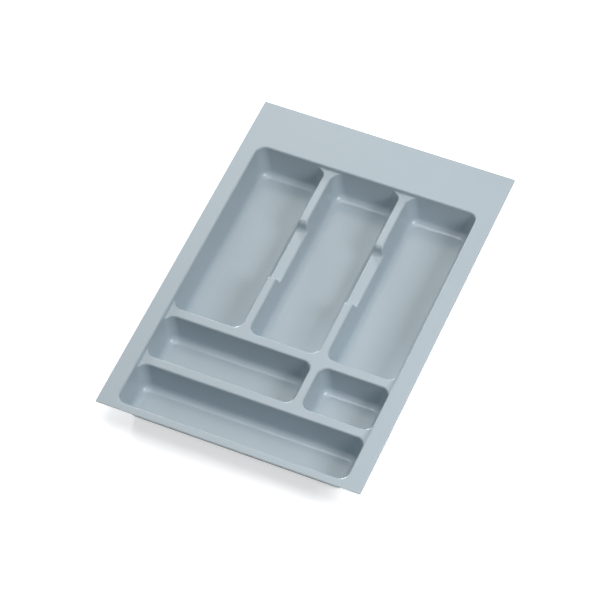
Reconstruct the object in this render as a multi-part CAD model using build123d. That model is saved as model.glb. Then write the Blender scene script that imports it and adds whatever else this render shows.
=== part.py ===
from build123d import *
import math
import os

# A drawer insert for cutlery, vacuum-formed from one plastic sheet: a flat trim rim, six wells and
# five hollow dividers. It lies on its well floors. X is the width, Y runs from the drawer's front to
# its back, Z is up, and the origin is on the drawer floor below the middle of the tray.
# The one sheet is delivered as regions that meet face to face: four rims, five dividers, six floors.
# All lengths are in millimetres.

# Overall size and sheet
tray_width = 340.0
tray_length = 490.0
tray_height = 45.0
sheet = 1.5
draft_angle = 10.0

# The front wall leans in more than the others, under its narrow flange
front_draft_angle = 14.5

# Flat rim that is trimmed to fit the drawer, from the tray's edge to each well wall
left_flange = 21.8
right_flange = 22.6
back_flange = 67.0
front_flange = 10.0
trim_corner_radius = 1.5

# Dividers: their tops lie below the rim. Widths are at the top, between the well edges
divider_drop = 6.0
long_divider_width = 10.6
cross_divider_width = 12.2

# Wells: lengths along Y between the dividers' top edges. The long wells take what is left
front_well_length = 62.5
middle_well_length = 63.0

# Roundings of the inner face of the sheet
corner_radius = 12.0
lip_radius = 2.0
divider_lip_radius = 2.0
floor_radius = 9.0

# Lowered saddle in each long divider, for the fingers, measured at and below the divider's top.
# Its two ramps lean more than the walls. They are rounded where they leave the divider's top, at the
# crest, and where they meet the saddle's floor, at the foot
saddle_length = 90.0
saddle_depth = 13.6
saddle_ramp_angle = 16.0
saddle_crest_radius = 5.5
saddle_foot_radius = 6.5

# How much of a flat floor goes with the walls around it, where the sheet is divided into regions
floor_border = 1.0

# How far cutting shapes run past what they cut, and how near an edge lies to a plane that it is in
overrun = 5.0
touch = 0.02

# Levels
rim_top = tray_height
divider_top = rim_top - divider_drop
divider_underside = divider_top - sheet
saddle_floor = divider_top - saddle_depth
well_floor = sheet

# The walls lean by the draft angle, so a wall's horizontal thickness is a little over the sheet's
slope = math.tan(math.radians(draft_angle))
wall_thickness = sheet / math.cos(math.radians(draft_angle))
front_slope = math.tan(math.radians(front_draft_angle))
front_wall_thickness = sheet / math.cos(math.radians(front_draft_angle))
ramp_slope = math.tan(math.radians(saddle_ramp_angle))
ramp_thickness = sheet / math.cos(math.radians(saddle_ramp_angle))

# Well edges at the level of the dividers' tops
drop_inset = slope * divider_drop
front_drop_inset = front_slope * divider_drop
wells_left = -tray_width / 2 + left_flange + drop_inset
wells_right = tray_width / 2 - right_flange - drop_inset
wells_front = -tray_length / 2 + front_flange + front_drop_inset
wells_back = tray_length / 2 - back_flange - drop_inset

long_well_width = (wells_right - wells_left - 2 * long_divider_width) / 3
left_divider_start = wells_left + long_well_width
left_divider_end = left_divider_start + long_divider_width
right_divider_start = left_divider_end + long_well_width
right_divider_end = right_divider_start + long_divider_width

front_well_back = wells_front + front_well_length
middle_wells_front = front_well_back + cross_divider_width
middle_wells_back = middle_wells_front + middle_well_length
long_wells_front = middle_wells_back + cross_divider_width

long_dividers = ((left_divider_start, left_divider_end), (right_divider_start, right_divider_end))

# Distance in plan from a well's edge at the dividers' top to the region of its flat floor
floor_inset = slope * (divider_top - well_floor)
floor_blend = floor_radius * math.tan(math.radians(90 - draft_angle) / 2)
foot = floor_inset + floor_blend + floor_border

front_floor_inset = front_slope * (divider_top - well_floor)
front_floor_blend = floor_radius * math.tan(math.radians(90 - front_draft_angle) / 2)
front_foot = front_floor_inset + front_floor_blend + floor_border

# Each well: its name and its edges, low X, high X, low Y, high Y, at the level of the dividers' top
wells = {
    "left_long_floor": (wells_left, left_divider_start, long_wells_front, wells_back),
    "middle_long_floor": (left_divider_end, right_divider_start, long_wells_front, wells_back),
    "right_long_floor": (right_divider_end, wells_right, long_wells_front, wells_back),
    "wide_middle_floor": (wells_left, right_divider_start, middle_wells_front, middle_wells_back),
    "small_middle_floor": (right_divider_end, wells_right, middle_wells_front, middle_wells_back),
    "front_floor": (wells_left, wells_right, wells_front, front_well_back),
}


def block(low_x, high_x, low_y, high_y, low_z, high_z):
    """A plain box between these limits."""
    size = (high_x - low_x, high_y - low_y, high_z - low_z)
    middle = ((low_x + high_x) / 2, (low_y + high_y) / 2, (low_z + high_z) / 2)
    return Pos(*middle) * Box(*size)


def beyond_front_wall(edges, top_z, depth):
    """What a hollow loses when its front wall leans in by the front's own angle."""
    low_x, high_x, low_y, high_y = edges
    bottom = depth + overrun
    wedge = Polyline(
        (low_y, top_z),
        (low_y + front_slope * bottom, top_z - bottom),
        (low_y - overrun, top_z - bottom),
        (low_y - overrun, top_z),
        close=True,
    )
    face = Plane.YZ.offset(low_x - overrun) * make_face(wedge)
    return extrude(face, amount=high_x - low_x + 2 * overrun, dir=(1, 0, 0))


def drafted_void(edges, top_z, depth, corner, bottom_radius, at_front):
    """A rectangular hollow whose walls lean in by the draft angle below its top edges."""
    low_x, high_x, low_y, high_y = edges
    middle = ((low_x + high_x) / 2, (low_y + high_y) / 2, top_z)
    outline = Pos(*middle) * Rectangle(high_x - low_x, high_y - low_y)
    hollow = extrude(outline, amount=depth, dir=(0, 0, -1), taper=draft_angle)
    if at_front:
        hollow -= beyond_front_wall(edges, top_z, depth)
    flat_edges = hollow.edges().group_by(Axis.Z)
    uprights = hollow.edges() - flat_edges[0] - flat_edges[-1]
    hollow = fillet(uprights, corner)
    if bottom_radius > 0:
        hollow = fillet(hollow.edges().group_by(Axis.Z)[0], bottom_radius)
    return hollow


def grown(edges, margin, front_margin):
    """The same edges moved outwards by a margin, and the front one by its own."""
    low_x, high_x, low_y, high_y = edges
    return (low_x - margin, high_x + margin, low_y - front_margin, high_y + margin)


def recess_solid(outer):
    """The shallow recess inside the rim, down to the dividers' tops, or its outer side."""
    margin = drop_inset + (wall_thickness if outer else 0)
    front_margin = front_drop_inset + (front_wall_thickness if outer else 0)
    depth = divider_drop + (sheet if outer else 0)
    edges = grown((wells_left, wells_right, wells_front, wells_back), margin, front_margin)
    return drafted_void(edges, rim_top, depth, corner_radius + (sheet if outer else 0), 0, at_front=True)


def well_solid(edges, outer):
    """One well below the dividers' tops, or its outer side."""
    at_front = edges == wells["front_floor"]
    if not outer:
        depth = divider_top - well_floor
        return drafted_void(edges, divider_top, depth, corner_radius, floor_radius, at_front)
    margin = wall_thickness - slope * sheet
    front_margin = front_wall_thickness - front_slope * sheet if at_front else margin
    return drafted_void(grown(edges, margin, front_margin), divider_underside, divider_underside,
                        corner_radius + sheet, floor_radius + sheet, at_front)


def saddle_solid(start, end, outer):
    """The notch that lowers one long divider, seen along X as a trough with ramps, or its outer side."""
    first, last = saddle_ends()
    margin = ramp_thickness if outer else 0
    bottom = saddle_floor - (sheet if outer else 0)
    lean = ramp_slope * (divider_top - bottom)
    rise = 0 if outer else overrun
    trough = Polyline(
        (first - margin - ramp_slope * rise, divider_top + rise),
        (first - margin + lean, bottom),
        (last + margin - lean, bottom),
        (last + margin + ramp_slope * rise, divider_top + rise),
        close=True,
    )
    widening = slope * (divider_top - bottom) + (0 if outer else overrun)
    low_x, high_x = start - widening, end + widening
    face = Plane.YZ.offset(low_x) * make_face(trough)
    notch = extrude(face, amount=high_x - low_x, dir=(1, 0, 0))
    low_edges = notch.edges().filter_by(Axis.X).group_by(Axis.Z)[0]
    return fillet(low_edges, saddle_foot_radius + (sheet if outer else 0))


def saddle_ends():
    """The two places along Y where the saddles start, at the dividers' top."""
    middle = (long_wells_front + wells_back) / 2
    return (middle - saddle_length / 2, middle + saddle_length / 2)


def formed_sheet():
    """The whole tray with sharp upper edges: the outer side of every hollow, less the hollows."""
    half_width, half_length = tray_width / 2, tray_length / 2
    plate = block(-half_width, half_width, -half_length, half_length, rim_top - sheet, rim_top)
    plate = fillet(plate.edges().filter_by(Axis.Z), trim_corner_radius)
    body = plate + recess_solid(outer=True)
    hollows = recess_solid(outer=False)
    for edges in wells.values():
        body += well_solid(edges, outer=True)
        hollows += well_solid(edges, outer=False)
    for start, end in long_dividers:
        body += saddle_solid(start, end, outer=True)
    body -= hollows
    for start, end in long_dividers:
        body -= saddle_solid(start, end, outer=False)
    return body


def lies_at(edge, level):
    """True for an edge in the level plane at this height."""
    limits = edge.bounding_box()
    return abs(limits.min.Z - level) < touch and abs(limits.max.Z - level) < touch


def crosses_long_divider(edge):
    """True for a line along X over a long divider, between the ends of the long wells."""
    middle = edge.center()
    limits = edge.bounding_box()
    along_x = limits.max.Y - limits.min.Y < touch
    between_ends = long_wells_front + touch < middle.Y < wells_back - touch
    over = any(start < middle.X < end for start, end in long_dividers)
    return along_x and between_ends and over


def on_divider_side(point):
    """True for a point on the leaning side of a long divider."""
    lean = slope * (divider_top - point.Z)
    sides = [start - lean for start, end in long_dividers] + [end + lean for start, end in long_dividers]
    return min(abs(point.X - side) for side in sides) < touch


def follows_saddle(edge):
    """True for an edge that runs down into a saddle, along it or up again."""
    limits = edge.bounding_box()
    in_height = saddle_floor - touch < limits.min.Z and limits.max.Z < divider_top + touch
    in_length = long_wells_front < limits.min.Y and limits.max.Y < wells_back
    return in_height and in_length and all(on_divider_side(edge @ share) for share in (0, 0.5, 1))


def rounded_sheet():
    """The tray with its saddles' ends, its dividers' edges and the rim's mouth rounded."""
    body = formed_sheet()
    crests = ((divider_top, saddle_crest_radius), (divider_underside, saddle_crest_radius - sheet))
    for level, radius in crests:
        ends = [edge for edge in body.edges() if lies_at(edge, level) and crosses_long_divider(edge)]
        body = fillet(ends, radius)
    divider_edges = [
        edge
        for edge in body.edges()
        if (lies_at(edge, divider_top) and not crosses_long_divider(edge)) or follows_saddle(edge)
    ]
    body = fillet(divider_edges, divider_lip_radius)
    inside_x = tray_width / 2 - min(left_flange, right_flange) / 2
    inside_y = tray_length / 2 - min(front_flange, back_flange) / 2
    mouth = [
        edge
        for edge in body.edges()
        if lies_at(edge, rim_top) and abs(edge.center().X) < inside_x and abs(edge.center().Y) < inside_y
    ]
    return fillet(mouth, lip_radius)


def regions():
    """The plan limits of each rim, divider and floor: low X, high X, low Y, high Y."""
    edge_left, edge_right = -tray_width / 2, tray_width / 2
    edge_front, edge_back = -tray_length / 2, tray_length / 2
    left, right = wells_left + foot, wells_right - foot
    front, back = wells_front + front_foot, wells_back - foot
    front_cross = (front_well_back - foot, middle_wells_front + foot)
    rear_cross = (middle_wells_back - foot, long_wells_front + foot)
    left_divider = (left_divider_start - foot, left_divider_end + foot)
    right_divider = (right_divider_start - foot, right_divider_end + foot)
    plan = {
        "back_rim": (edge_left, edge_right, back, edge_back),
        "front_rim": (edge_left, edge_right, edge_front, front),
        "left_rim": (edge_left, left, front, back),
        "right_rim": (right, edge_right, front, back),
        "front_cross_divider": (left, right, *front_cross),
        "rear_cross_divider": (left, right, *rear_cross),
        "long_divider_left": (*left_divider, rear_cross[1], back),
        "long_divider_right": (*right_divider, rear_cross[1], back),
        "short_divider": (*right_divider, front_cross[1], rear_cross[0]),
    }
    for name, (low_x, high_x, low_y, high_y) in wells.items():
        plan[name] = (low_x + foot, high_x - foot, max(low_y + foot, front), high_y - foot)
    return plan


os.makedirs("parts", exist_ok=True)
tray = rounded_sheet()
print("whole sheet: solids", len(tray.solids()), "volume", round(tray.volume), "valid", tray.is_valid)
for name, limits in regions().items():
    region = tray & block(*limits, -overrun, rim_top + overrun)
    print(name, "solids", len(region.solids()), "volume", round(region.volume), "valid", region.is_valid)
    export_step(region, f"parts/{name}.step")
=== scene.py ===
# %% [markdown]
# # A vacuum-formed cutlery tray
# This lesson dresses a drawer insert for cutlery. The real one starts as a flat sheet of plastic that is
# heated until it sags, sucked down over a mould, and cut out of the sheet around its rim. So everything on
# it is one skin: six wells, the dividers between them and the flat rim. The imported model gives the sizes.
# Lengths are in metres for Blender, and in millimetres where a name or a comment says so.

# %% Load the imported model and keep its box
import math

import bmesh
import bpy
import numpy as np
from mathutils import Matrix, Vector


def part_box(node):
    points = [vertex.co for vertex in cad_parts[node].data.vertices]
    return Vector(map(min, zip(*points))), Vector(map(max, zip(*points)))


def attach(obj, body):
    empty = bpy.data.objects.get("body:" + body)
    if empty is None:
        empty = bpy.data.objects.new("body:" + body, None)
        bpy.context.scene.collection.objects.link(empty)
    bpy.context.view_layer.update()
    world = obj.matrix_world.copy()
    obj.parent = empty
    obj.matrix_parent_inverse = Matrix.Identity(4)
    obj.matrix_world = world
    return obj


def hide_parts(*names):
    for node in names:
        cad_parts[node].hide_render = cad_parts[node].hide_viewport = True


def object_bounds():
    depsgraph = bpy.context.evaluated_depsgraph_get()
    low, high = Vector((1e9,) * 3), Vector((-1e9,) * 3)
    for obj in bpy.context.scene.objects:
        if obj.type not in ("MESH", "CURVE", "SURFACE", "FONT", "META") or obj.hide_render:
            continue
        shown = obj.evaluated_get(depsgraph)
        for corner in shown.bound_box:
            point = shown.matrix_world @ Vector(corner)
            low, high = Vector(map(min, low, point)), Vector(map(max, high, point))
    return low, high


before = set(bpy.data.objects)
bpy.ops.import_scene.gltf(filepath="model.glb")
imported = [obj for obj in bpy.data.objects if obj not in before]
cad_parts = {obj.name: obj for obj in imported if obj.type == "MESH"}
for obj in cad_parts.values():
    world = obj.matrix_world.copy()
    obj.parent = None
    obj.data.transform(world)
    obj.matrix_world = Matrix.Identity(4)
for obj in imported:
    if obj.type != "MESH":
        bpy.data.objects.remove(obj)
cad_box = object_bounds()
MM = 0.001
low, high = Vector(cad_box[0]) / MM, Vector(cad_box[1]) / MM
print("nodes", sorted(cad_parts))
print("box in mm", [round(v, 2) for v in low], [round(v, 2) for v in high])

# %% [markdown]
# ## The camera
# A product photograph like this one is taken from far away with a long lens, so that the tray's far end
# isn't much smaller than its near end. The camera's place was worked out from the four corners of the rim:
# it stands in front of the tray and to its right, looks down steeply, and is rolled a little.
# It aims at a point in the rim's plane, so the aim's height is the rim's.

# %% Set the camera
IMAGE_SIZE_PX = 608
FOCAL_PX = 2775.0
SENSOR_MM = 36.0
CAMERA_AZIMUTH = math.radians(27.47)
CAMERA_ELEVATION = math.radians(54.79)
CAMERA_ROLL = math.radians(-4.52)
CAMERA_DISTANCE = 3.343
CLIP_END = 50
AIM_MM = Vector((2.5, -24.9, high.z))

back = Vector((
    math.sin(CAMERA_AZIMUTH) * math.cos(CAMERA_ELEVATION),
    -math.cos(CAMERA_AZIMUTH) * math.cos(CAMERA_ELEVATION),
    math.sin(CAMERA_ELEVATION),
))
level_right = Vector((math.cos(CAMERA_AZIMUTH), math.sin(CAMERA_AZIMUTH), 0))
level_up = back.cross(level_right)
right = level_right * math.cos(CAMERA_ROLL) + level_up * math.sin(CAMERA_ROLL)
up = back.cross(right)

lens = bpy.data.cameras.new("camera")
lens.sensor_width = SENSOR_MM
lens.lens = FOCAL_PX / IMAGE_SIZE_PX * SENSOR_MM
lens.clip_end = CLIP_END
camera = bpy.data.objects.new("camera", lens)
camera.matrix_world = Matrix((right, up, back)).transposed().to_4x4()
camera.matrix_world.translation = AIM_MM * MM + back * CAMERA_DISTANCE
bpy.context.scene.collection.objects.link(camera)
bpy.context.scene.camera = camera
print("lens in mm", round(lens.lens, 1))
print("camera at", [round(v, 3) for v in camera.matrix_world.translation])

# %% [markdown]
# ## The sheet as a formula
# A drawn sheet has no undercuts, or it would never leave its mould. So for each place in plan there is one
# height of its upper face, and the whole shape can be said as a formula: how far a point is from the
# plastic, with the air above counted as positive. Each well is the overlap of a rounded rectangle, whose
# walls lean by the draft angle, with everything above the well's floor. The tray's front wall leans a
# little more than the others, so that its foot hides under the narrow flange. The tray's air is the
# union of the wells, the shallow recess over the dividers, the two saddles and the open air over the
# rim. Rounded overlaps make the hollow fillets, and rounded unions make the lips. Modelling this with
# bevels would fail at the dividers' ends, where a lip runs out to nothing along the wall.
#
# A leaning wall doesn't meet a level face squarely. For the same radius the formula then needs a smaller
# blend: the radius times one minus the sine of the lean.

# %% Sizes of the sheet in mm and its angles
SHEET = 1.5
DRAFT = math.radians(10)
FRONT_DRAFT = math.radians(14.5)
CORNER_RADIUS = 12.0  # of the wells' upright corners
RIM_LIP = 2.0
DIVIDER_LIP = 2.0
LIP_FADE = 5.0  # the length over which a divider's lip runs out at an outer wall
FLOOR_RADIUS = 9.0
FLOOR_BORDER = 1.0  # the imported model's flat floors end this far inside the fillets
FOOT_RADIUS = 2.0  # where an outer wall stands on a divider's top
SADDLE_LENGTH = 90.0
SADDLE_DEPTH = 13.6
SADDLE_RAMP = math.radians(16)
SADDLE_CREST = 5.5
SADDLE_FOOT = 6.5
TRIM_RADIUS = 1.5  # of the outline's four corners
TRIM_ROUND = 0.25
print("sheet in mm", SHEET, "saddle in mm", SADDLE_LENGTH, "by", SADDLE_DEPTH)

# %% Read the levels and the wells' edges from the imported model
rim_top = high.z
divider_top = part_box("short_divider")[1].z / MM
well_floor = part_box("front_floor")[1].z / MM
square_on = math.cos(DRAFT)
fillet_reach = 1 - math.sin(DRAFT)


def foot_of(draft):
    """How far in plan a well's flat floor lies from the wall's edge at the level of the dividers' tops."""
    wall = math.tan(draft) * (divider_top - well_floor)
    fillet = FLOOR_RADIUS * math.tan((math.pi / 2 - draft) / 2)
    return wall + fillet + FLOOR_BORDER


def well_edges(floor_node):
    """A well's edges in mm at the level of the dividers' tops, from the box of its flat floor."""
    floor_low, floor_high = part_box(floor_node)
    foot = foot_of(DRAFT)
    front_foot = foot_of(FRONT_DRAFT if floor_node == "front_floor" else DRAFT)
    return (floor_low.x / MM - foot, floor_high.x / MM + foot,
            floor_low.y / MM - front_foot, floor_high.y / MM + foot)


FLOORS = ("left_long_floor", "middle_long_floor", "right_long_floor",
          "wide_middle_floor", "small_middle_floor", "front_floor")
wells = {name: well_edges(name) for name in FLOORS}
whole = (
    min(edges[0] for edges in wells.values()), max(edges[1] for edges in wells.values()),
    min(edges[2] for edges in wells.values()), max(edges[3] for edges in wells.values()),
)
long_divider_middles = (
    (wells["left_long_floor"][1] + wells["middle_long_floor"][0]) / 2,
    (wells["middle_long_floor"][1] + wells["right_long_floor"][0]) / 2,
)
saddle_middle = (wells["left_long_floor"][2] + wells["left_long_floor"][3]) / 2
saddle_reach_in_x = (wells["middle_long_floor"][0] - wells["left_long_floor"][1]) / 2 + CORNER_RADIUS
for name, edges in wells.items():
    print(name, [round(v, 2) for v in edges])

# %% Rounded overlaps and unions


def overlap(a, b, radius):
    """The distance inside both of two spaces, whose corner is rounded."""
    in_round = np.hypot(np.maximum(radius - a, 0), np.maximum(radius - b, 0))
    return np.maximum(radius, np.minimum(a, b)) - in_round


def union(a, b, radius):
    """The distance inside either of two spaces, with the edge between them rounded."""
    in_round = np.hypot(np.maximum(radius + a, 0), np.maximum(radius + b, 0))
    return np.minimum(-radius, np.maximum(a, b)) + in_round


a, b = np.array([0.0, 2.0, 5.0]), np.array([0.0, 1.0, 1.0])
print("overlap", overlap(a, b, 2.0).round(2), "union", union(a, b, 2.0).round(2))

# %% The formula for the distance from the plastic


def inside(x, y, edges, depth):
    """The distance in plan inside a rounded rectangle whose edges lean in below the dividers' tops.
    Only the front wall leans by an angle of its own. Its distance is scaled, because the caller
    turns distances in plan into distances square to a wall of the common draft."""
    front_draft = FRONT_DRAFT if edges[2] == whole[2] else DRAFT
    from_x = np.minimum(x - edges[0], edges[1] - x) - math.tan(DRAFT) * depth
    from_front = (y - edges[2] - math.tan(front_draft) * depth) * math.cos(front_draft) / square_on
    from_y = np.minimum(from_front, edges[3] - y - math.tan(DRAFT) * depth)
    in_corner = CORNER_RADIUS - np.hypot(CORNER_RADIUS - from_x, CORNER_RADIUS - from_y)
    at_corner = (from_x < CORNER_RADIUS) & (from_y < CORNER_RADIUS)
    return np.where(at_corner, in_corner, np.minimum(from_x, from_y))


def air(x, y, z):
    """The distance in mm from the sheet's upper face, positive in the air."""
    depth = divider_top - z
    hollow = np.full(x.shape, -np.inf)
    for edges in wells.values():
        wall = inside(x, y, edges, depth) * square_on
        hollow = np.maximum(hollow, overlap(wall, z - well_floor, FLOOR_RADIUS * fillet_reach))

    recess_wall = inside(x, y, whole, depth) * square_on
    recess = overlap(recess_wall, z - divider_top, FOOT_RADIUS * fillet_reach)
    ramp_inset = math.tan(SADDLE_RAMP) * depth
    ramp = (SADDLE_LENGTH / 2 - np.abs(y - saddle_middle) - ramp_inset) * math.cos(SADDLE_RAMP)
    ramp_reach = 1 - math.sin(SADDLE_RAMP)  # as fillet_reach, for the ramp's lean
    saddle = overlap(ramp, z - (divider_top - SADDLE_DEPTH), SADDLE_FOOT * ramp_reach)
    over_divider = np.minimum(*(np.abs(x - middle) for middle in long_divider_middles)) < saddle_reach_in_x
    saddle = np.where(over_divider, saddle, -2 * SADDLE_FOOT)  # elsewhere, deep in the plastic
    over_dividers = union(recess, saddle, SADDLE_CREST * ramp_reach)

    # the dividers' lips grow from nothing at the tray's outer walls, along a smooth step
    share = np.clip(inside(x, y, whole, 0) / LIP_FADE, 0, 1)
    lip = DIVIDER_LIP * fillet_reach * share * share * (3 - 2 * share)
    mouth = union(hollow, over_dividers, lip)
    return union(mouth, z - rim_top, RIM_LIP * fillet_reach)


levels = np.array([0.0, well_floor, divider_top, rim_top])
middle_x, middle_y = (low.x + high.x) / 2, saddle_middle
print("distance in mm at levels", levels.round(2), "in the middle long well",
      air(np.full(levels.shape, middle_x), np.full(levels.shape, middle_y), levels).round(2))

# %% [markdown]
# ## From the formula to a mesh
# The height at each place is found by halving: the air distance rises with height, so one height between
# the table and a little above the rim is where it is zero. The slope of the same formula gives each
# point's normal, which shades better than normals averaged from the faces.

# %% Heights and normals
HALVINGS = 22
ABOVE_RIM = 1
PROBE = 0.01


def height(x, y):
    """The height in mm of the upper face at each place."""
    under, over = np.zeros(x.shape), np.full(x.shape, rim_top + ABOVE_RIM)
    for _ in range(HALVINGS):
        middle = (under + over) / 2
        in_air = air(x, y, middle) > 0
        over = np.where(in_air, middle, over)
        under = np.where(in_air, under, middle)
    return (under + over) / 2


def normals_at(x, y, z):
    """The way out of the plastic at each place, from the formula's slope."""
    slope = np.stack([
        air(x + PROBE, y, z) - air(x - PROBE, y, z),
        air(x, y + PROBE, z) - air(x, y - PROBE, z),
        air(x, y, z + PROBE) - air(x, y, z - PROBE),
    ], axis=-1)
    return slope / np.linalg.norm(slope, axis=-1, keepdims=True)


print("height in mm in the middle long well", height(np.array([middle_x]), np.array([middle_y])).round(3))

# %% [markdown]
# ## The grid's lines
# They are close together where a wall, a lip or a fillet can be, and far apart on the flats. A wall takes
# fine lines from its lip's outer end to the end of the upright corners' arcs at its foot. The outer walls'
# lips are at the rim, which is higher, so there the leaning wall reaches further out.

# %% Choose the grid's lines
LIP_STEP = 0.3
WALL_STEP = 0.9
FLAT_STEP = 8.0


def grid_lines(start, end, walls, ramps=()):
    """The places in mm of the grid's lines along one axis. A wall is its edge and the way into its
    well. Of lines closer than half the finest step, one is kept."""
    wanted = [start, start + TRIM_ROUND, start + TRIM_RADIUS, end - TRIM_RADIUS, end - TRIM_ROUND, end]
    fine = list(ramps)
    for edge, way in walls:
        lean = math.tan(FRONT_DRAFT if edge == whole[2] else DRAFT)
        lip_reach = (lean * (rim_top - divider_top) if edge in whole else 0) + RIM_LIP + LIP_STEP
        well_reach = lean * (divider_top - well_floor) + CORNER_RADIUS + WALL_STEP
        fine.extend(edge + way * np.arange(-lip_reach, DIVIDER_LIP / 2, LIP_STEP))
        fine.extend(edge + way * np.arange(DIVIDER_LIP / 2, well_reach, WALL_STEP))
    first, last = start + TRIM_RADIUS + WALL_STEP, end - TRIM_RADIUS - WALL_STEP
    fine = [place for place in fine if first < place < last]
    kept = []
    for place in sorted(wanted + fine):
        if not kept or place - kept[-1] > LIP_STEP / 2:
            kept.append(place)
    lines = [kept[0]]
    for place in kept[1:]:
        steps = math.ceil((place - lines[-1]) / FLAT_STEP)
        lines.extend(np.linspace(lines[-1], place, steps + 1)[1:])
    return np.array(lines)


left, middle, wide, small, front = (wells[name] for name in (
    "left_long_floor", "middle_long_floor", "wide_middle_floor", "small_middle_floor", "front_floor"))
x_walls = [(left[0], 1), (left[1], -1), (middle[0], 1), (middle[1], -1), (small[0], 1), (small[1], -1)]
y_walls = [(front[2], 1), (front[3], -1), (wide[2], 1), (wide[3], -1), (left[2], 1), (left[3], -1)]
# for the saddles' ramps, from past the foot inside the saddle to the end of the crest
ramp_lines = [
    saddle_middle + way * (SADDLE_LENGTH / 2 + offset)
    for way in (-1, 1)
    for offset in np.arange(-2 * SADDLE_FOOT, SADDLE_CREST + WALL_STEP, WALL_STEP)
]
x_lines = grid_lines(low.x, high.x, x_walls)
y_lines = grid_lines(low.y, high.y, y_walls, ramp_lines)
print("lines", len(x_lines), "by", len(y_lines), "closest in mm", np.diff(x_lines).min().round(3))

# %% Find the upper face
grid_x, grid_y = np.meshgrid(x_lines, y_lines, indexing="ij")
grid_z = height(grid_x, grid_y)
grid_normals = normals_at(grid_x, grid_y, grid_z)
print("grid", grid_x.shape, "heights in mm", round(grid_z.min(), 3), round(grid_z.max(), 3))

# %% [markdown]
# ## Giving the sheet its thickness and its cut edge
# The lower face is the upper one moved back along its normals by the sheet's thickness. The sheet was cut
# out after forming, so its outline is crisp: a square edge with a hair of rounding from the cutter, and
# small radii at the four corners. The grid's outermost line becomes that edge.
# Then faces that lie in one plane are joined, so the flats and straight walls stay light.

# %% Helpers for the cut outline


def round_trim_corners(x, y):
    """Draws the grid in at the outline's four corners, so that its outermost line follows their radii."""
    corner_x = np.abs(x) - (high.x - TRIM_RADIUS)
    corner_y = np.abs(y) - (high.y - TRIM_RADIUS)
    at_corner = (corner_x > 0) & (corner_y > 0)
    diagonal = np.maximum(np.hypot(corner_x, corner_y), PROBE)
    reach = np.where(at_corner, np.maximum(corner_x, corner_y) / diagonal, 1)
    new_x = np.where(at_corner, np.sign(x) * (high.x - TRIM_RADIUS + corner_x * reach), x)
    new_y = np.where(at_corner, np.sign(y) * (high.y - TRIM_RADIUS + corner_y * reach), y)
    return new_x, new_y


def outline_normals(x, y):
    """The way out, in plan, for points on the outline."""
    out_x = np.sign(x) * np.maximum(np.abs(x) - (high.x - TRIM_RADIUS), 0)
    out_y = np.sign(y) * np.maximum(np.abs(y) - (high.y - TRIM_RADIUS), 0)
    out = np.stack([out_x, out_y, np.zeros(x.shape)], axis=-1)
    return out / np.linalg.norm(out, axis=-1, keepdims=True)


trimmed_x, trimmed_y = round_trim_corners(grid_x, grid_y)
print("corner moved from", (grid_x[-1, -1].round(2), grid_y[-1, -1].round(2)),
      "to", (trimmed_x[-1, -1].round(2), trimmed_y[-1, -1].round(2)))

# %% Points and normals of both faces
upper = np.stack([trimmed_x, trimmed_y, grid_z], axis=-1)
lower = upper - SHEET * grid_normals
upper_normals, lower_normals = grid_normals.copy(), -grid_normals

across, along = grid_x.shape
number = np.arange(across * along).reshape(across, along)
rim_line = np.concatenate([number[:, 0], number[-1, 1:], number[-2::-1, -1], number[0, -2:0:-1]])
upper, lower = upper.reshape(-1, 3), lower.reshape(-1, 3)
upper_normals, lower_normals = upper_normals.reshape(-1, 3), lower_normals.reshape(-1, 3)
edge_normals = outline_normals(upper[rim_line, 0], upper[rim_line, 1])
upper_normals[rim_line] = edge_normals
lower_normals[rim_line] = edge_normals
upper[rim_line, 2] -= TRIM_ROUND
lower[rim_line, 2] += TRIM_ROUND
print("points", len(upper) + len(lower), "of them on the cut edge", 2 * len(rim_line))

# %% Build the mesh
top_faces = np.stack([number[:-1, :-1], number[1:, :-1], number[1:, 1:], number[:-1, 1:]], -1)
top_faces = top_faces.reshape(-1, 4)
bottom_faces = top_faces[:, ::-1] + across * along
next_on_rim = np.roll(rim_line, -1)
edge_faces = np.stack([rim_line, rim_line + across * along, next_on_rim + across * along, next_on_rim], -1)

sheet_mesh = bpy.data.meshes.new("formed_sheet")
points = np.concatenate([upper, lower]) * MM
sheet_mesh.from_pydata(points.tolist(), [], np.concatenate([top_faces, bottom_faces, edge_faces]).tolist())
way_out = sheet_mesh.attributes.new("way_out", "FLOAT_VECTOR", "POINT")
way_out.data.foreach_set("vector", np.concatenate([upper_normals, lower_normals]).ravel())
print("faces before joining the flats", len(sheet_mesh.polygons))

# %% Join the faces that lie in one plane, and shade by the kept normals
COPLANAR = math.radians(0.02)
CM3_PER_M3 = 1e6

editing = bmesh.new()
editing.from_mesh(sheet_mesh)
bmesh.ops.dissolve_limit(editing, angle_limit=COPLANAR, verts=editing.verts, edges=editing.edges)
open_edges = sum(1 for edge in editing.edges if not edge.is_manifold)
print("faces", len(editing.faces), "open edges", open_edges)
print("volume in cm3", round(editing.calc_volume() * CM3_PER_M3, 1))
editing.to_mesh(sheet_mesh)
editing.free()

sheet_mesh.polygons.foreach_set("use_smooth", [True] * len(sheet_mesh.polygons))
kept_normals = np.zeros(len(sheet_mesh.vertices) * 3)
sheet_mesh.attributes["way_out"].data.foreach_get("vector", kept_normals)
sheet_mesh.normals_split_custom_set_from_vertices(kept_normals.reshape(-1, 3).tolist())
sheet_mesh.attributes.remove(sheet_mesh.attributes["way_out"])
formed_sheet = bpy.data.objects.new("formed_sheet", sheet_mesh)
bpy.context.scene.collection.objects.link(formed_sheet)

# %% [markdown]
# ## The plastic
# Cutlery inserts like this are formed from high-impact polystyrene, coloured through in a cool light grey.
# The sheet is pressed against an etched mould, which leaves a satin face: broad soft highlights on the
# fillets, and no mirror image. Its refractive index is about 1.59.
# Colours are written as they look on a screen, and one function turns them to the linear values that the
# shader works with.

# %% Helpers for materials


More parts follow.
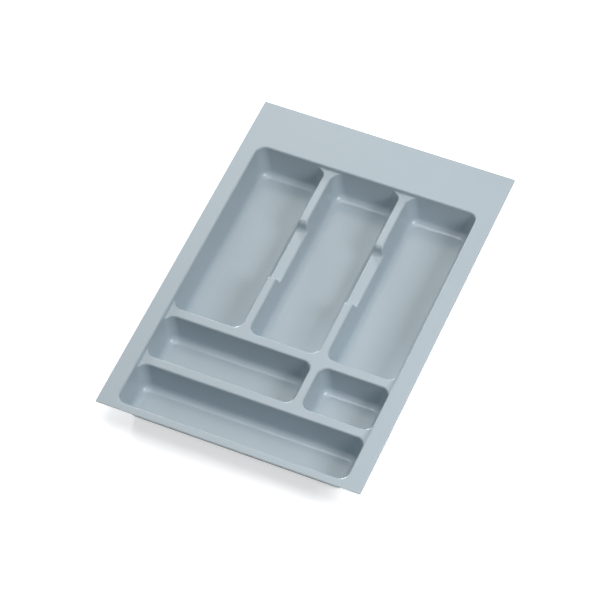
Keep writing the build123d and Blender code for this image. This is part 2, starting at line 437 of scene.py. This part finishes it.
def linear(hex_colour):
    """A colour such as #A0B0C0 as linear red, green, blue and full alpha."""
    channels = [int(hex_colour[start:start + 2], 16) / 255 for start in (1, 3, 5)]
    return [c / 12.92 if c <= 0.04045 else ((c + 0.055) / 1.055) ** 2.4 for c in channels] + [1.0]


def add_node(tree, kind, settings=None, sockets=None, links=None):
    """Adds a node with its settings, the values of its sockets, and links into its sockets."""
    node = tree.nodes.new(kind)
    for name, value in (settings or {}).items():
        setattr(node, name, value)
    for name, value in (sockets or {}).items():
        node.inputs[name].default_value = value
    for name, source in (links or {}).items():
        tree.links.new(source, node.inputs[name])
    return node


def new_material(name):
    """An empty node material and its tree."""
    material = bpy.data.materials.new(name)
    material.use_nodes = True
    material.node_tree.nodes.clear()
    return material, material.node_tree


print("linear value of #808080", round(linear("#808080")[0], 3))

# %% Satin polystyrene
GRAIN_MM, GRAIN_DETAIL = 1.2, 2.0
GRAIN_DEPTH_MM, GRAIN_BUMP = 0.02, 0.05
CLOUD_MM, CLOUD_DETAIL = 60.0, 3.0
CLOUD_COLOURS = ("#A8B6BF", "#ADBBC3")
ROUGHNESS_FROM, ROUGHNESS_TO = 0.26, 0.28
POLYSTYRENE_IOR = 1.59

satin_polystyrene, tree = new_material("satin_polystyrene_vacuum_formed")
place = add_node(tree, "ShaderNodeTexCoord").outputs["Object"]
grain = add_node(tree, "ShaderNodeTexNoise", links={"Vector": place},
                 sockets={"Scale": 1 / (GRAIN_MM * MM), "Detail": GRAIN_DETAIL})
clouds = add_node(tree, "ShaderNodeTexNoise", links={"Vector": place},
                  sockets={"Scale": 1 / (CLOUD_MM * MM), "Detail": CLOUD_DETAIL})
tint = add_node(tree, "ShaderNodeValToRGB", links={"Fac": clouds.outputs["Fac"]})
for element, colour in zip(tint.color_ramp.elements, CLOUD_COLOURS):
    element.color = linear(colour)
satin = add_node(tree, "ShaderNodeMapRange", links={"Value": grain.outputs["Fac"]},
                 sockets={"To Min": ROUGHNESS_FROM, "To Max": ROUGHNESS_TO})
bump = add_node(tree, "ShaderNodeBump", links={"Height": grain.outputs["Fac"]},
                sockets={"Strength": GRAIN_BUMP, "Distance": GRAIN_DEPTH_MM * MM})
plastic = add_node(tree, "ShaderNodeBsdfPrincipled", sockets={"IOR": POLYSTYRENE_IOR}, links={
    "Base Color": tint.outputs["Color"],
    "Roughness": satin.outputs["Result"],
    "Normal": bump.outputs["Normal"],
})
add_node(tree, "ShaderNodeOutputMaterial", links={"Surface": plastic.outputs["BSDF"]})
sheet_mesh.materials.append(satin_polystyrene)
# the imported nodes, which the sheet replaces below, are of the same plastic
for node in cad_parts.values():
    node.data.materials.clear()
    node.data.materials.append(satin_polystyrene)
print("materials", [material.name for material in bpy.data.materials])

# %% [markdown]
# ## The floor and the white beyond it
# The tray lies on matt white paper, which keeps its soft shadow. In a product photograph the paper is
# exposed until it is white. More light would bleach the tray too, so the paper and the world get a glow
# instead, which is there only for rays that come from the camera or a reflection. A glow of 1 is white.

# %% The paper
FLOOR_SIZE = 8.0
PAPER_WHITE = "#F1F1F1"
GLOW_WHITE = "#FFFFFF"
BELOW_TRAY = 0.0002
PAPER_GLOW = 0.56
WORLD_LIGHT = 0.08


def seen_strength(tree, seen, otherwise):
    """A strength for rays from the camera, a reflection or glass, and another one for all the rest."""
    ray = add_node(tree, "ShaderNodeLightPath")
    looks = add_node(tree, "ShaderNodeMath", {"operation": "ADD"},
                     links={0: ray.outputs["Is Camera Ray"], 1: ray.outputs["Is Glossy Ray"]})
    looks = add_node(tree, "ShaderNodeMath", {"operation": "ADD", "use_clamp": True},
                     links={0: looks.outputs["Value"], 1: ray.outputs["Is Transmission Ray"]})
    strength = add_node(tree, "ShaderNodeMapRange", sockets={"To Min": otherwise, "To Max": seen},
                        links={"Value": looks.outputs["Value"]})
    return strength.outputs["Result"]


white_paper, tree = new_material("white_paper_matt")
matt = add_node(tree, "ShaderNodeBsdfDiffuse", sockets={"Color": linear(PAPER_WHITE)})
glow = add_node(tree, "ShaderNodeEmission", sockets={"Color": linear(GLOW_WHITE)},
                links={"Strength": seen_strength(tree, PAPER_GLOW, 0)})
paper = add_node(tree, "ShaderNodeAddShader", links={0: matt.outputs["BSDF"], 1: glow.outputs["Emission"]})
add_node(tree, "ShaderNodeOutputMaterial", links={"Surface": paper.outputs["Shader"]})

floor_mesh = bpy.data.meshes.new("floor")
half = FLOOR_SIZE / 2
floor_mesh.from_pydata(
    [(-half, -half, 0), (half, -half, 0), (half, half, 0), (-half, half, 0)], [], [(0, 1, 2, 3)])
floor_mesh.materials.append(white_paper)
floor = bpy.data.objects.new("floor", floor_mesh)
floor.location.z = -BELOW_TRAY
bpy.context.scene.collection.objects.link(floor)
print("paper in m", FLOOR_SIZE, "glow", PAPER_GLOW)

# %% The world
world = bpy.data.worlds.new("studio")
world.use_nodes = True
world.node_tree.nodes.clear()
air_light = add_node(world.node_tree, "ShaderNodeBackground", sockets={"Color": linear(GLOW_WHITE)},
                     links={"Strength": seen_strength(world.node_tree, 1, WORLD_LIGHT)})
add_node(world.node_tree, "ShaderNodeOutputWorld", links={"Surface": air_light.outputs["Background"]})
bpy.context.scene.world = world
bpy.context.scene.view_settings.view_transform = "Standard"
print("world's light on the tray", WORLD_LIGHT)

# %% [markdown]
# ## The light
# Large soft panels stand over the tray, to its right and behind it, and none in front of it, so the walls
# that face the front are its darkest faces and the fillets at their feet catch the light from behind.
# Each panel's share is the light that it gives to a surface which faces it squarely. Where the shares that
# reach a level surface add up to about 1, a colour renders about as it is written.
# A square panel sends out its power evenly, so the power for a share is pi squared times the distance
# squared times the share.

# %% Soft panels
def soft_panel(name, azimuth, elevation, distance, share, size):
    """A square panel, its size in metres, that shines on the tray's middle from a direction in degrees."""
    panel = bpy.data.lights.new(name, "AREA")
    panel.size = size
    panel.energy = math.pi ** 2 * distance ** 2 * share
    azimuth, elevation = math.radians(azimuth), math.radians(elevation)
    direction = Vector((
        math.cos(azimuth) * math.cos(elevation),
        math.sin(azimuth) * math.cos(elevation),
        math.sin(elevation),
    ))
    lamp = bpy.data.objects.new(name, panel)
    lamp.location = direction * distance
    lamp.rotation_euler = direction.to_track_quat("Z", "Y").to_euler()
    bpy.context.scene.collection.objects.link(lamp)
    print(name, "power in W", round(panel.energy, 1))
    return math.sin(elevation) * share


level = WORLD_LIGHT
level += soft_panel("overhead_panel", azimuth=0, elevation=90, distance=2.6, share=0.27, size=1.2)
level += soft_panel("right_panel", azimuth=-10, elevation=40, distance=1.4, share=0.46, size=0.5)
level += soft_panel("low_back_panel", azimuth=125, elevation=12, distance=2.6, share=0.735, size=0.45)
level += soft_panel("middle_back_panel", azimuth=115, elevation=40, distance=2.0, share=0.093, size=0.8)
level += soft_panel("high_back_panel", azimuth=120, elevation=65, distance=2.6, share=0.098, size=1.2)
print("light on a level surface", round(level, 2))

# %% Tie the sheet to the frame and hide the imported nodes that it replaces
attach(formed_sheet, "root")
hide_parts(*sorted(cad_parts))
